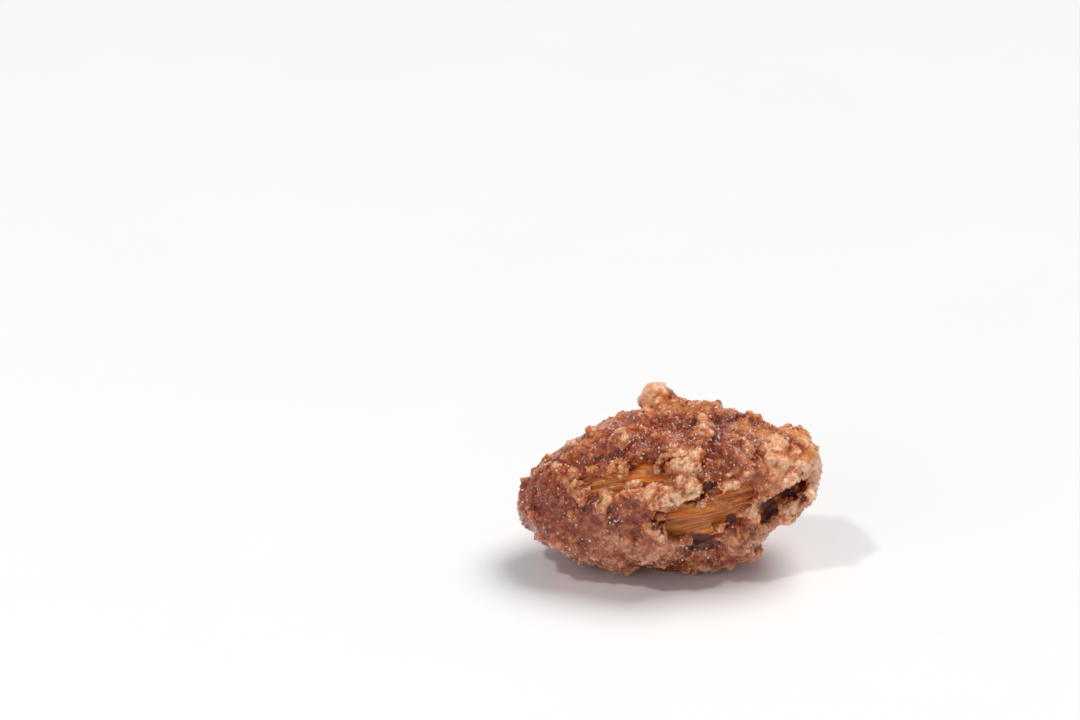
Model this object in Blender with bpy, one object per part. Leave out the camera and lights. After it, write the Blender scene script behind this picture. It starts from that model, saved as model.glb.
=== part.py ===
"""Candied almond: an almond kernel in a thick, craggy coat of cinnamon sugar.

Metres, +Z up. The almond lies along X with its pointed end towards +X, and rests on a small flat spot
of its coat at z = 0. Its coat has two bare windows on the front (-Y), where the kernel's skin shows.
The shapes are worked out in millimetres and brought to metres at the end.
"""

import math
import random

import bmesh
import bpy
from mathutils import Matrix, Vector, noise

METRES = 0.001  # in a millimetre

# The coat's even form, before its crags.
COAT_LENGTH = 25.0
COAT_DEPTH = 13.3
COAT_HEIGHT = 13.0
COAT_POINTEDNESS = 0.62  # 0.5 is an ellipse, more is more pointed
AXIS_LIFT = math.radians(8.5)  # the pointed end lies higher
BASE_CUT = 0.9  # how much of the underside the flat spot takes

# Towards both ends the top at the back slopes off below the even form.
SHOULDER_FALL = 0.85
SHOULDER_AROUND = 115.0  # where it slopes off most, in degrees from the front over the top
SHOULDERS = ((-5.0, -7.0), (3.5, 5.5))  # where the fall starts and where it is whole, along the axis
SHOULDER_END = 3.4  # the fall dies out where the coat's half is less than this

# The kernel inside.
KERNEL_LENGTH = 21.4
KERNEL_WIDTH = 11.0
KERNEL_THICKNESS = 9.0
KERNEL_FORWARD = 1.15  # it lies nearer the front of the coat
KERNEL_ROLL = math.radians(12.0)  # its broad face looks a little up
CLEARANCE = 0.3  # between the kernel and the coat
THINNEST_COAT = 0.55

# The kernel's section narrows towards its tip, and its two edges are keeled.
WIDTH_TAPER = 0.16
THICKNESS_TAPER = 0.10
TIP_SHARPNESS = (0.30, 0.34)  # across its width and its thickness
KEEL = 0.06

# The crags and cobbles of the coat.
CRAG_SEED = 7
CRAG_COUNT = 260
CRAG_RADIUS = (0.55, 1.5)  # least and most
CRAG_DEPTH = 0.4  # how deep a crag's centre is sunk, as a share of its radius
CRAG_JITTER = (0.5, 14.0)  # along, and around in degrees
COBBLES = ((3.2, 1.0), (1.7, 0.8))  # size and share of each kind
COBBLE_LEVEL = 0.32  # keeps the coat's mean size
SWAY_SIZE = 4.5
ROUGHNESS = 0.62
NOISE_PLACE = Vector((3.1, 7.7, 1.3))

# How fine the coat's skin is.
VOXEL = 0.3
COAT_TRIANGLES = 9000


def coat_half(along, half):
    """Half of the even coat's depth or height at a distance along its axis."""
    share = min(abs(along) / (COAT_LENGTH / 2), 1.0)
    return half * (1 - share**2) ** COAT_POINTEDNESS


def shoulder_fall(along, around):
    """How far the coat falls short of its even form there."""
    facing = max(0.0, math.cos(math.radians(around - SHOULDER_AROUND))) ** 2
    near_end = min(1.0, coat_half(along, COAT_HEIGHT / 2) / SHOULDER_END)
    fall = 0.0
    for start, whole in SHOULDERS:
        share = min(1.0, max(0.0, (along - start) / (whole - start)))
        fall = max(fall, share * share * (3 - 2 * share))
    return SHOULDER_FALL * fall * facing * near_end


def on_coat(along, around, out=0.0):
    """A point on the coat: along its axis, and around in degrees from the front up over the top."""
    angle = math.radians(around)
    out -= shoulder_fall(along, around)
    depth = coat_half(along, COAT_DEPTH / 2) + out
    height = coat_half(along, COAT_HEIGHT / 2) + out
    return Vector((along, -depth * math.cos(angle), height * math.sin(angle)))


def frame_on_coat(along, around, turn=0.0, out=0.0):
    """A matrix on the even coat: X runs along it, Z points outwards, and turn (degrees) spins it about Z."""
    step = 0.05
    ahead = (on_coat(along + step, around) - on_coat(along - step, around)).normalized()
    up = (on_coat(along, around + 1) - on_coat(along, around - 1)).normalized()
    outward = ahead.cross(up).normalized()
    axes = Matrix((ahead, outward.cross(ahead), outward)).transposed()
    place = Matrix.Translation(on_coat(along, around, out)) @ axes.to_4x4()
    return place @ Matrix.Rotation(math.radians(turn), 4, "Z")


def add_blob(bm, matrix, radii, detail=2):
    """An ellipsoid with its three radii along the matrix's axes."""
    size = Matrix.Diagonal((*radii, 1.0))
    bmesh.ops.create_icosphere(bm, subdivisions=detail, radius=1.0, matrix=matrix @ size)


def face_outwards(bm):
    """Turns the whole closed skin right side out."""
    if bm.calc_volume(signed=True) < 0:
        bmesh.ops.reverse_faces(bm, faces=bm.faces)


def new_object(name, bm):
    mesh = bpy.data.meshes.new(name)
    bm.to_mesh(mesh)
    bm.free()
    obj = bpy.data.objects.new(name, mesh)
    bpy.context.scene.collection.objects.link(obj)
    return obj


def as_evaluated(obj):
    """Replaces the object's mesh with what its modifiers make of it."""
    graph = bpy.context.evaluated_depsgraph_get()
    obj.data = bpy.data.meshes.new_from_object(obj.evaluated_get(graph))
    obj.modifiers.clear()


def fuse(obj, voxel):
    """Makes one closed skin of overlapping shapes."""
    remesh = obj.modifiers.new("fuse", "REMESH")
    remesh.mode = "VOXEL"
    remesh.voxel_size = voxel
    as_evaluated(obj)


def swallow(obj, other):
    """Fuses another object into this one."""
    bm = bmesh.new()
    bm.from_mesh(obj.data)
    bm.from_mesh(other.data)
    bm.to_mesh(obj.data)
    bm.free()
    bpy.data.objects.remove(other)
    fuse(obj, VOXEL)


def thin_out(obj, triangles):
    """Fewer, larger triangles where the shape allows."""
    obj.data.calc_loop_triangles()
    decimate = obj.modifiers.new("thin out", "DECIMATE")
    decimate.ratio = min(1.0, triangles / len(obj.data.loop_triangles))
    decimate.use_collapse_triangulate = True
    as_evaluated(obj)


def drop_scraps(obj):
    """Keeps only the largest connected piece of the mesh."""
    bm = bmesh.new()
    bm.from_mesh(obj.data)
    left = set(bm.verts)
    pieces = []
    while left:
        start = left.pop()
        reached = {start}
        border = [start]
        while border:
            here = border.pop()
            new = [v for v in (e.other_vert(here) for e in here.link_edges) if v not in reached]
            reached.update(new)
            border.extend(new)
        left -= reached
        pieces.append(reached)
    pieces.sort(key=len)
    scraps = [v for piece in pieces[:-1] for v in piece]
    bmesh.ops.delete(bm, geom=scraps, context="VERTS")
    bm.to_mesh(obj.data)
    bm.free()


def kernel_point(unit, grow=0.0):
    """Where a point of the unit sphere lies on the kernel, which is blunt at -X and pointed at +X."""
    tip = max(unit.x, 0.0) ** 4
    width = 1 - WIDTH_TAPER * unit.x - TIP_SHARPNESS[0] * tip
    thickness = 1 - THICKNESS_TAPER * unit.x - TIP_SHARPNESS[1] * tip
    keel = (1 + KEEL * abs(unit.z) ** 3) / (1 + KEEL)
    x = unit.x * (KERNEL_LENGTH / 2 + grow)
    y = unit.y * (KERNEL_THICKNESS / 2 * thickness + grow)
    z = unit.z * (KERNEL_WIDTH / 2 * width * keel + grow)
    return Vector((x, y, z))


def make_kernel(name, grow=0.0):
    bm = bmesh.new()
    bmesh.ops.create_uvsphere(bm, u_segments=36, v_segments=26, radius=1.0)
    along_x = Matrix.Rotation(math.radians(90), 3, "Y")
    for v in bm.verts:
        v.co = kernel_point(along_x @ v.co, grow)
    face_outwards(bm)
    kernel = new_object(name, bm)
    place = Matrix.Translation((0, -KERNEL_FORWARD, 0)) @ Matrix.Rotation(-KERNEL_ROLL, 4, "X")
    kernel.data.transform(place)
    return kernel


# Each row: along, around (degrees), radii along, across and outwards, turn (degrees).
SWELLS = (
    (-9.0, -38, 2.6, 2.4, 1.1, 0),  # the blunt end hangs low
    (-6.0, -46, 3.0, 2.2, 1.2, 0),
    (3.4, -66, 2.8, 2.0, 1.2, 0),
    (10.6, 56, 2.2, 2.2, 0.7, 0),  # the pointed end is thick
    (9.4, 26, 2.6, 1.8, 0.9, 10),
    (-1.0, -22, 2.6, 2.3, 0.8, -15),  # left of the lower window
    (-5.0, -2, 2.2, 2.2, 0.7, 0),
    (-9.6, 8, 2.2, 2.4, 0.5, 0),
    (0.4, -93, 4.2, 3.0, 1.0, 0),  # the underside, which it lies on
)
LUMPS = (
    (2.6, 104, 1.8, 1.1, 0.55, 0),  # the ridge on the top
    (4.0, 100, 0.9, 1.3, 0.5, 10),
    (7.4, 103, 1.1, 0.9, 0.5, 0),
    (0.6, 84, 1.5, 0.5, 0.75, -15),  # the arc below the ridge
    (3.6, 70, 0.45, 1.6, 0.8, 5),  # the rib on the upper front
    (7.2, 68, 0.9, 0.8, 0.5, 0),
    (5.6, 52, 0.8, 1.0, 0.7, 0),
    (9.0, 62, 0.8, 1.0, 0.8, 0),
    (10.6, 62, 1.3, 1.1, 1.2, 0),  # the pointed end's masses
    (11.8, 80, 1.0, 1.1, 0.6, 0),
    (10.8, 36, 1.1, 1.1, 1.3, 0),
    (12.0, 40, 0.8, 1.2, 1.3, 0),
    (9.3, 46, 1.1, 1.0, 1.0, 0),
    (6.8, 32, 2.2, 0.8, 0.75, -10),  # the brow over the lower window
    (4.8, 36, 1.3, 0.9, 0.6, 0),
    (12.2, -8, 0.9, 1.5, 1.2, 0),  # the rim round the hollow
    (11.4, -36, 1.2, 1.3, 0.9, 20),
    (9.2, -38, 1.9, 1.1, 1.0, 20),  # the lip under it
    (7.0, -36, 1.6, 1.3, 1.2, 20),
    (5.2, -48, 1.7, 1.1, 1.2, 10),
    (4.9, -72, 1.8, 1.3, 1.2, 0),
    (-4.7, 8, 0.55, 1.6, 0.75, -8),  # the ribs under the upper window
    (-6.7, 20, 0.7, 0.9, 0.6, 20),
    (-7.6, 34, 0.55, 1.1, 0.8, 12),  # the upper window's blunt edge
    (-9.4, 46, 1.1, 1.0, 0.5, 0),
    (-3.6, 66, 0.8, 0.8, 0.7, 0),
    (-6.4, 58, 0.9, 0.7, 0.6, 0),
    (-2.8, 88, 0.8, 1.0, 0.6, 0),
    (-11.4, -12, 0.9, 1.6, 0.6, 10),
    (-9.0, -16, 0.9, 0.7, 0.6, 0),
    (-6.6, -24, 0.7, 1.2, 0.8, 30),
    (-3.6, -30, 0.9, 0.9, 0.7, 0),
)

# Lumps that stand on the roughened coat, or bridge its windows.
TOP_LUMPS = (
    (-0.15, 108, 1.25, 1.15, 2.5, 0),  # the knob on the top
    (0.65, 106, 1.0, 0.95, 2.15, 0),
    (7.4, 106, 0.85, 0.8, 2.1, 0),  # the small peak
    (6.5, 104, 0.9, 0.7, 1.3, 0),
    (2.5, 47, 1.1, 1.2, 0.8, 0),
    (2.1, 37, 1.15, 1.2, 0.95, 0),
    (1.4, 27, 1.5, 1.1, 0.85, 25),
    (0.3, 19, 1.2, 0.9, 0.75, 20),
    (3.0, 20, 0.85, 1.3, 0.95, -15),
    (4.1, 9, 0.5, 0.6, 0.8, 0),
    (-4.2, 45, 0.8, 0.7, 0.7, 10),
    (-5.9, 30, 0.5, 0.6, 0.6, 10),
    (6.9, -17, 0.6, 0.9, 0.8, 10),
)

# Bare windows and the hollows round the kernel's tip: their outward radius reaches into the coat.
OPENINGS = (
    (-4.9, 35, 2.7, 0.8, 2.4, 4),  # the upper window
    (-1.0, 37, 3.2, 1.0, 2.4, 6),
    (2.0, -2, 2.9, 1.55, 3.0, 16),  # the lower window
    (5.2, 3, 2.8, 1.25, 3.0, 20),
    (8.2, -17, 1.1, 0.9, 3.3, 0),  # the hollow beside it
    (9.0, -11, 0.95, 0.9, 3.3, 35),
    (9.9, -4, 1.0, 0.75, 3.2, 45),
    (10.8, 2, 0.95, 0.6, 2.8, 20),
    (11.6, 4, 0.8, 0.5, 2.0, 0),
    (6.0, -15, 0.8, 0.65, 3.0, 0),  # the small hole
    (3.0, -25, 2.0, 0.55, 2.3, 3),  # the gap under the kernel
)


# Where the centres of those lie, off the even coat.
OPENINGS_OUT = 0.3
TOP_LUMPS_OUT = -0.15


def add_listed(bm, rows, out=0.0):
    for along, around, length, across, outward, turn in rows:
        add_blob(bm, frame_on_coat(along, around, turn, out), (length, across, outward))


def add_body(bm):
    bmesh.ops.create_uvsphere(bm, u_segments=64, v_segments=48, radius=1.0)
    for v in bm.verts:
        around = math.degrees(math.atan2(v.co.y, v.co.x))
        v.co = on_coat(v.co.z * COAT_LENGTH / 2, around)
    face_outwards(bm)


def add_crags(bm):
    """Crumbs of sugar of every size all over the coat, set on a spiral and shaken off it."""
    rng = random.Random(CRAG_SEED)
    golden_angle = 180 * (3 - math.sqrt(5))
    last = 0.49 * COAT_LENGTH
    for i in range(CRAG_COUNT):
        share = (i + 0.5) / CRAG_COUNT
        along = (2 * share - 1) * last + rng.uniform(-1, 1) * CRAG_JITTER[0]
        along = max(-last, min(last, along))
        around = i * golden_angle + rng.uniform(-1, 1) * CRAG_JITTER[1]
        radius = CRAG_RADIUS[0] + (CRAG_RADIUS[1] - CRAG_RADIUS[0]) * rng.random() ** 2
        place = frame_on_coat(along, around, turn=rng.uniform(0, 180), out=-CRAG_DEPTH * radius)
        stretch = (rng.uniform(0.8, 1.7), rng.uniform(0.7, 1.1), rng.uniform(0.7, 1.1))
        add_blob(bm, place, [radius * s for s in stretch])


def roughen(mesh, depth):
    """Pushes the skin in and out by rounded cobbles of two sizes."""
    moved = []
    for v in mesh.vertices:
        rise = noise.noise(v.co / SWAY_SIZE + NOISE_PLACE)
        for size, share in COBBLES:
            nearest = noise.voronoi(v.co / size + NOISE_PLACE)[0][0]
            rise += share * (COBBLE_LEVEL - nearest**2)
        moved.append(v.co + v.normal * rise * depth)
    for v, co in zip(mesh.vertices, moved):
        v.co = co


def cut(obj, cutter):
    """Takes the cutter's volume out of the object."""
    cutter.hide_render = True
    cutter.display_type = "WIRE"
    boolean = obj.modifiers.new(cutter.name, "BOOLEAN")
    boolean.operation = "DIFFERENCE"
    boolean.solver = "EXACT"
    boolean.object = cutter


def make_blobs(name, rows, out):
    bm = bmesh.new()
    add_listed(bm, rows, out)
    blobs = new_object(name, bm)
    fuse(blobs, VOXEL)
    roughen(blobs.data, ROUGHNESS / 2)
    fuse(blobs, VOXEL)
    return blobs


def make_coat():
    """The coat before it is hollowed for the kernel and cut off flat below."""
    bm = bmesh.new()
    add_body(bm)
    add_listed(bm, SWELLS)
    add_listed(bm, LUMPS)
    add_crags(bm)
    coat = new_object("sugar_crust", bm)
    fuse(coat, VOXEL)
    roughen(coat.data, ROUGHNESS)
    swallow(coat, make_kernel("undercoat", grow=CLEARANCE + THINNEST_COAT))
    openings = make_blobs("openings", OPENINGS, out=OPENINGS_OUT)
    cut(coat, openings)
    as_evaluated(coat)
    bpy.data.objects.remove(openings)
    swallow(coat, make_blobs("top_lumps", TOP_LUMPS, out=TOP_LUMPS_OUT))
    thin_out(coat, COAT_TRIANGLES)
    return coat


def make_floor(level):
    """A block that takes off whatever is lower than this."""
    bm = bmesh.new()
    size = 2 * COAT_LENGTH
    bmesh.ops.create_cube(bm, size=size, matrix=Matrix.Translation((0, 0, level - size / 2)))
    return new_object("floor_cutter", bm)


def material(name, colour, roughness):
    made = bpy.data.materials.new(name)
    made.use_nodes = True
    shader = made.node_tree.nodes["Principled BSDF"]
    shader.inputs["Base Color"].default_value = (*colour, 1.0)
    shader.inputs["Roughness"].default_value = roughness
    shader.inputs["Metallic"].default_value = 0.0
    made.diffuse_color = (*colour, 1.0)
    return made


def bounds(obj):
    """The lowest and highest corner of the object's box."""
    points = [v.co for v in obj.data.vertices]
    low = Vector([min(p[i] for p in points) for i in range(3)])
    high = Vector([max(p[i] for p in points) for i in range(3)])
    return low, high


def main():
    for obj in list(bpy.data.objects):
        bpy.data.objects.remove(obj)
    coat = make_coat()
    kernel = make_kernel("almond_kernel")
    room = make_kernel("kernel_room", grow=CLEARANCE)
    lift = Matrix.Rotation(-AXIS_LIFT, 4, "Y")
    for obj in (coat, kernel, room):
        obj.data.transform(lift)
    floor = make_floor(bounds(coat)[0].z + BASE_CUT)
    for cutter in (room, floor):
        cut(coat, cutter)
    as_evaluated(coat)
    for cutter in (room, floor):
        bpy.data.objects.remove(cutter)
    drop_scraps(coat)
    low, high = bounds(coat)
    middle = Vector(((low.x + high.x) / 2, (low.y + high.y) / 2, low.z))
    to_row = Matrix.Scale(METRES, 4) @ Matrix.Translation(-middle)
    coat.data.transform(to_row)
    kernel.data.transform(to_row)
    coat.data.materials.clear()
    coat.data.materials.append(material("cinnamon_sugar", (0.42, 0.19, 0.11), 0.4))
    kernel.data.materials.append(material("almond_skin", (0.36, 0.13, 0.05), 0.45))
    kernel.data.shade_smooth()


main()
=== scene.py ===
import math

import bmesh
import bpy
import numpy as np
from mathutils import Matrix, Vector, noise
from mathutils.bvhtree import BVHTree
from mathutils.kdtree import KDTree


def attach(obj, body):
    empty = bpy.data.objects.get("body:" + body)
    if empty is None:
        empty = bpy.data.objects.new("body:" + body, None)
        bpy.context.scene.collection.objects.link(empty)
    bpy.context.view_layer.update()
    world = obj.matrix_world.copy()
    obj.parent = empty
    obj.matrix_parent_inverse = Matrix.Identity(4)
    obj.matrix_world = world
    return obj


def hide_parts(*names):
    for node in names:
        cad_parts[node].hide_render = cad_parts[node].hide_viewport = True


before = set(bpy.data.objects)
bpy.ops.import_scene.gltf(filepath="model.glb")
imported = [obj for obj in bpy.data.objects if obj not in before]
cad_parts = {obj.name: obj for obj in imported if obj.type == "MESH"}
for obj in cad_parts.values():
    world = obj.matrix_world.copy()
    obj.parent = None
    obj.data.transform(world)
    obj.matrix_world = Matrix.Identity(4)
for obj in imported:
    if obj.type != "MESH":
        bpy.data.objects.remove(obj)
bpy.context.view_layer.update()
mm = 0.001  # the shapes below are worked out in millimetres
farOut = 30  # rays start this far from the almond's axis

# Where the almond's long axis lies in the frame, and how it slopes.
almondAxis = {"middle": (0.0, 0.3, 7.13), "lift": math.radians(8.5)}


# Small tools for meshes.

def meshValues(items, name, width, kind=np.float32):
    # one property of all the points, edges or triangles of a mesh, a row for each
    flat = np.empty(len(items) * width, kind)
    items.foreach_get(name, flat)
    return flat.reshape(-1, width)


def meshPoints(mesh):
    return meshValues(mesh.vertices, "co", 3).astype(float)


def setMeshPoints(mesh, points):
    mesh.vertices.foreach_set("co", points.astype(np.float32).ravel())
    mesh.update()


def meshNormals(mesh):
    return meshValues(mesh.vertices, "normal", 3).astype(float)


def meshTriangles(mesh):
    mesh.calc_loop_triangles()
    return meshValues(mesh.loop_triangles, "vertices", 3, np.int32)


def meshEdges(mesh):
    return meshValues(mesh.edges, "vertices", 2, np.int32)


def treeOf(points, triangles):
    return BVHTree.FromPolygons([Vector(p) for p in points], triangles.tolist())


def nodeInMm(name):
    # a solid's points and triangles, each corner kept once
    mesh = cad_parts[name].data
    points = meshPoints(mesh) / mm
    _, firsts, owners = np.unique(np.round(points, 4), axis=0, return_index=True, return_inverse=True)
    return points[firsts], owners.reshape(-1)[meshTriangles(mesh)]


def placedObject(name, data):
    made = bpy.data.objects.new(name, data)
    bpy.context.scene.collection.objects.link(made)
    return made


def newObject(name, points, faces):
    mesh = bpy.data.meshes.new(name)
    mesh.from_pydata(points.tolist(), [], faces if isinstance(faces, list) else faces.tolist())
    mesh.update()
    return placedObject(name, mesh)


def applyModifiers(obj):
    graph = bpy.context.evaluated_depsgraph_get()
    old = obj.data
    obj.data = bpy.data.meshes.new_from_object(obj.evaluated_get(graph))
    obj.modifiers.clear()
    bpy.data.meshes.remove(old)


def dropLooseParts(mesh):
    # takes out what isn't joined to the topmost point
    shape = bmesh.new()
    shape.from_mesh(mesh)
    top = max(shape.verts, key=lambda v: v.co.z)
    kept, waiting = {top}, [top]
    while waiting:
        point = waiting.pop()
        for edge in point.link_edges:
            other = edge.other_vert(point)
            if other not in kept:
                kept.add(other)
                waiting.append(other)
    bmesh.ops.delete(shape, geom=[v for v in shape.verts if v not in kept], context="VERTS")
    shape.to_mesh(mesh)
    shape.free()


def fuseSkin(obj, voxel):
    remesh = obj.modifiers.new("fuse", "REMESH")
    remesh.mode = "VOXEL"
    remesh.voxel_size = voxel
    applyModifiers(obj)
    dropLooseParts(obj.data)


def smoothed(points, edges, rounds):
    # each point moves halfway to the middle of its neighbours, a few times over
    count = len(points)
    ends = np.concatenate((edges[:, 0], edges[:, 1]))
    others = np.concatenate((edges[:, 1], edges[:, 0]))
    links = np.maximum(np.bincount(ends, minlength=count), 1)[:, None]
    for _ in range(rounds):
        sums = np.stack([np.bincount(ends, points[others, i], count) for i in range(3)], axis=1)
        points = points + 0.5 * (sums / links - points)
    return points


def smoothStep(low, high, value):
    # a soft ramp from 0 at low to 1 at high
    share = np.clip((value - low) / (high - low), 0, 1)
    return share * share * (3 - 2 * share)


def saveAttributes(mesh, **saved):
    # one number for each point, under the name that the material reads
    for name, values in saved.items():
        mesh.attributes.new(name, "FLOAT", "POINT").data.foreach_set("value", values.astype(np.float32))


def cobbles(points, size, seed):
    # rounded bumps: 1 at the middle of each, 0 in the seams between them
    place = Vector((seed * 3.7, seed * 1.9, seed * 5.3))
    near = np.array([noise.voronoi(Vector(p) / size + place)[0][0] for p in points])
    return 1 - np.clip(near / 0.75, 0, 1) ** 2


def sways(points, size, seed, octaves=1):
    # a soft noise round 0, size millimetres from one swell to the next
    place = Vector((seed * 2.3, seed * 4.1, seed * 0.7))
    if octaves == 1:
        return np.array([noise.noise(Vector(p) / size + place) for p in points])
    return np.array([noise.fractal(Vector(p) / size + place, 0.7, 2.0, octaves) for p in points])


def turnMatrices(rng, count):
    # one random rotation matrix for each of count things
    q = rng.normal(size=(count, 4))
    q /= np.linalg.norm(q, axis=1)[:, None]
    w, x, y, z = q.T
    rows = [
        1 - 2 * (y * y + z * z), 2 * (x * y - w * z), 2 * (x * z + w * y),
        2 * (x * y + w * z), 1 - 2 * (x * x + z * z), 2 * (y * z - w * x),
        2 * (x * z - w * y), 2 * (y * z + w * x), 1 - 2 * (x * x + y * y),
    ]
    return np.stack(rows, axis=1).reshape(-1, 3, 3)


def stamped(template, faces, turns, sizes, places):
    # copies of a small shape, each stretched, turned and moved
    stretched = template[None, :, :] * sizes[:, None, :]
    points = np.einsum("nij,nkj->nki", turns, stretched) + places[:, None, :]
    steps = (np.arange(len(places)) * len(template))[:, None, None]
    return points.reshape(-1, 3), (faces[None, :, :] + steps).reshape(-1, faces.shape[1])


def scattered(points, triangles, count, rng, weights):
    # random places on a surface, more of them where weights is high, with their normals
    corners = points[triangles]
    cross = np.cross(corners[:, 1] - corners[:, 0], corners[:, 2] - corners[:, 0])
    length = np.linalg.norm(cross, axis=1)
    chance = length * weights[triangles].mean(axis=1)
    picked = rng.choice(len(triangles), count, p=chance / chance.sum())
    u, v = rng.random(count), rng.random(count)
    over = u + v > 1
    u[over], v[over] = 1 - u[over], 1 - v[over]
    a, b, c = corners[picked, 0], corners[picked, 1], corners[picked, 2]
    return a + (b - a) * u[:, None] + (c - a) * v[:, None], cross[picked] / length[picked, None]


def ballTemplate(detail):
    ball = bmesh.new()
    bmesh.ops.create_icosphere(ball, subdivisions=detail, radius=1.0)
    points = np.array([v.co[:] for v in ball.verts])
    faces = np.array([[v.index for v in f.verts] for f in ball.faces])
    ball.free()
    return points, faces


# Places on the almond, in millimetres and degrees: along its axis, and round it from the front over the top.

def axisPoint(along):
    slope = almondAxis["lift"]
    return Vector(almondAxis["middle"]) + along * Vector((math.cos(slope), 0, math.sin(slope)))


def outwardAt(around):
    # the direction away from the axis at an angle from the front over the top
    slope, angle = almondAxis["lift"], math.radians(around)
    up = Vector((-math.sin(slope), 0, math.cos(slope)))
    return -math.cos(angle) * Vector((0, 1, 0)) + math.sin(angle) * up


def layOf(points):
    # each point's distance along the almond, angle round it and distance from its axis
    slope = almondAxis["lift"]
    rest = points - np.array(almondAxis["middle"])
    along = rest[:, 0] * math.cos(slope) + rest[:, 2] * math.sin(slope)
    up = rest[:, 2] * math.cos(slope) - rest[:, 0] * math.sin(slope)
    return along, np.degrees(np.arctan2(up, -rest[:, 1])), np.hypot(up, rest[:, 1])


def reachOf(lay, form):
    # 0 in the middle of a form and 1 at its edge, and the distance from its middle
    along, around, radius = lay
    length, width, turn = form[2], form[3], math.radians(form[4])
    du = along - form[0]
    dv = np.radians((around - form[1] + 180) % 360 - 180) * radius
    u = du * math.cos(turn) + dv * math.sin(turn)
    v = dv * math.cos(turn) - du * math.sin(turn)
    return np.hypot(u / length, v / width), np.hypot(u, v)


def within(lay, form, low, high, ragged=0.0):
    # 1 inside a form and 0 outside it, with a soft rim between
    return 1 - smoothStep(low, high, reachOf(lay, form)[0] + ragged)


crustPoints, crustTriangles = nodeInMm("sugar_crust")
kernelPoints, kernelTriangles = nodeInMm("almond_kernel")
kernelTree = treeOf(kernelPoints, kernelTriangles)
crustTree = treeOf(crustPoints, crustTriangles)
print("frame read:", len(crustPoints), "crust points,", len(kernelPoints), "kernel points")


def aboveKernel(points):
    # the nearest places on the kernel's skin, their normals, and how high the points lie above them
    found = [kernelTree.find_nearest(Vector(p)) for p in points]
    nearest, outward = np.array([f[0][:] for f in found]), np.array([f[1][:] for f in found])
    return nearest, outward, np.einsum("ij,ij->i", points - nearest, outward)


# thin strips where the skin is bare in the upper window: along, around, half length, half width, turn
bareStrips = [
    (-1.2, 44, 2.45, 0.26, 0),
    (-3.6, 37, 4.35, 0.27, -7),
    (-4.7, 31, 3.19, 0.25, -6),
]

# sugar film on the kernel's skin: along, around, half length, half width, turn, thickness
skinFilms = [
    (-3.1, 38, 5.6, 1.35, -7, 1.0),
    (2.6, 9, 2.8, 0.8, -10, 0.5),
    (3.8, 28, 1.7, 0.8, -18, 0.8),
]

# pits and clefts, each also painted dark as painted shade: along, around, half length, half width, turn,
# depth
hollowForms = [
    (8.0, -19, 0.68, 1.12, 21, 0.5),
    (9.7, -10, 1.10, 0.62, 10, 0.5),
    (11.2, -16, 1.00, 0.42, -53, 0.3),
    (4.8, -16, 0.57, 0.60, 3, 0.5),
    (2.2, -30, 1.81, 0.82, -25, 0.5),
    (-6.1, -12, 0.77, 0.57, 8, 0.12),
    (-8.7, 79, 0.72, 0.66, -5, 0.2),
    (-5.6, 55, 0.83, 0.40, 5, 0.2),
]


def hollowAt(points, lay):
    # how much painted shade each point gets for lying in a pit, and how far the pit sinks it
    ragged = 0.45 * sways(points, 0.5, 6)
    hollow, depth = np.zeros(len(points)), np.zeros(len(points))
    for form in hollowForms:
        inside = within(lay, form, 0.4, 1.3, ragged)
        hollow = np.maximum(hollow, inside * min(1.0, 2 * form[5]))
        depth += form[5] * inside
    return hollow, depth


def skinFilm(points, lay):
    # how thick the sugar film is on the bare skin, 0 to 1
    ragged = 0.5 * sways(points, 0.8, 22) + 0.3 * sways(points, 0.3, 23)
    film = 0.45 * smoothStep(0.12, 0.35, sways(points, 1.5, 24))
    for form in skinFilms:
        film = np.maximum(film, form[5] * within(lay, form, 0.7, 1.2, ragged))
    for form in bareStrips:
        film *= smoothStep(0.7, 1.6, reachOf(lay, form)[0] + ragged)
    return film


# Small tools for materials. A socket knows its own node tree, so only the first node needs the material.

def newMaterial(name):
    material = bpy.data.materials.new(name)
    material.use_nodes = True
    return material, material.node_tree.nodes["Principled BSDF"]


def plugAll(node, inputs):
    # links other nodes' sockets to a node's inputs, and sets the inputs that are plain values
    for name, value in inputs.items():
        if isinstance(value, bpy.types.NodeSocket):
            node.id_data.links.new(value, node.inputs[name])
        else:
            node.inputs[name].default_value = value


def addNode(tree, kind, inputs=None, **settings):
    made = tree.nodes.new(kind)
    for name, value in settings.items():
        setattr(made, name, value)
    plugAll(made, inputs or {})
    return made


def attributeOf(material, name, output="Fac"):
    return addNode(material.node_tree, "ShaderNodeAttribute", attribute_name=name).outputs[output]


def objectPlace(material):
    return addNode(material.node_tree, "ShaderNodeTexCoord").outputs["Object"]


def mixed(factor, first, second, blend="MIX"):
    first, second = (c if isinstance(c, bpy.types.NodeSocket) else (*c, 1) for c in (first, second))
    inputs = {0: factor, 6: first, 7: second}
    return addNode(factor.id_data, "ShaderNodeMix", inputs, data_type="RGBA", blend_type=blend).outputs[2]


def mapped(value, fromLow, fromHigh, toLow=0.0, toHigh=1.0):
    inputs = {"Value": value, "From Min": fromLow, "From Max": fromHigh, "To Min": toLow, "To Max": toHigh}
    return addNode(value.id_data, "ShaderNodeMapRange", inputs, interpolation_type="SMOOTHSTEP").outputs[0]


def calculated(operation, first, second):
    return addNode(first.id_data, "ShaderNodeMath", {0: first, 1: second}, operation=operation).outputs[0]


def vectorMath(operation, *sides):
    inputs = dict(enumerate(sides))
    return addNode(sides[0].id_data, "ShaderNodeVectorMath", inputs, operation=operation).outputs[0]


def noiseOf(place, sizeMm, detail=3.0, roughness=0.55, distortion=0.0, output="Fac"):
    inputs = {"Vector": place, "Scale": 1 / (sizeMm * mm), "Detail": detail, "Roughness": roughness}
    inputs["Distortion"] = distortion
    return addNode(place.id_data, "ShaderNodeTexNoise", inputs).outputs[output]


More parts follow.
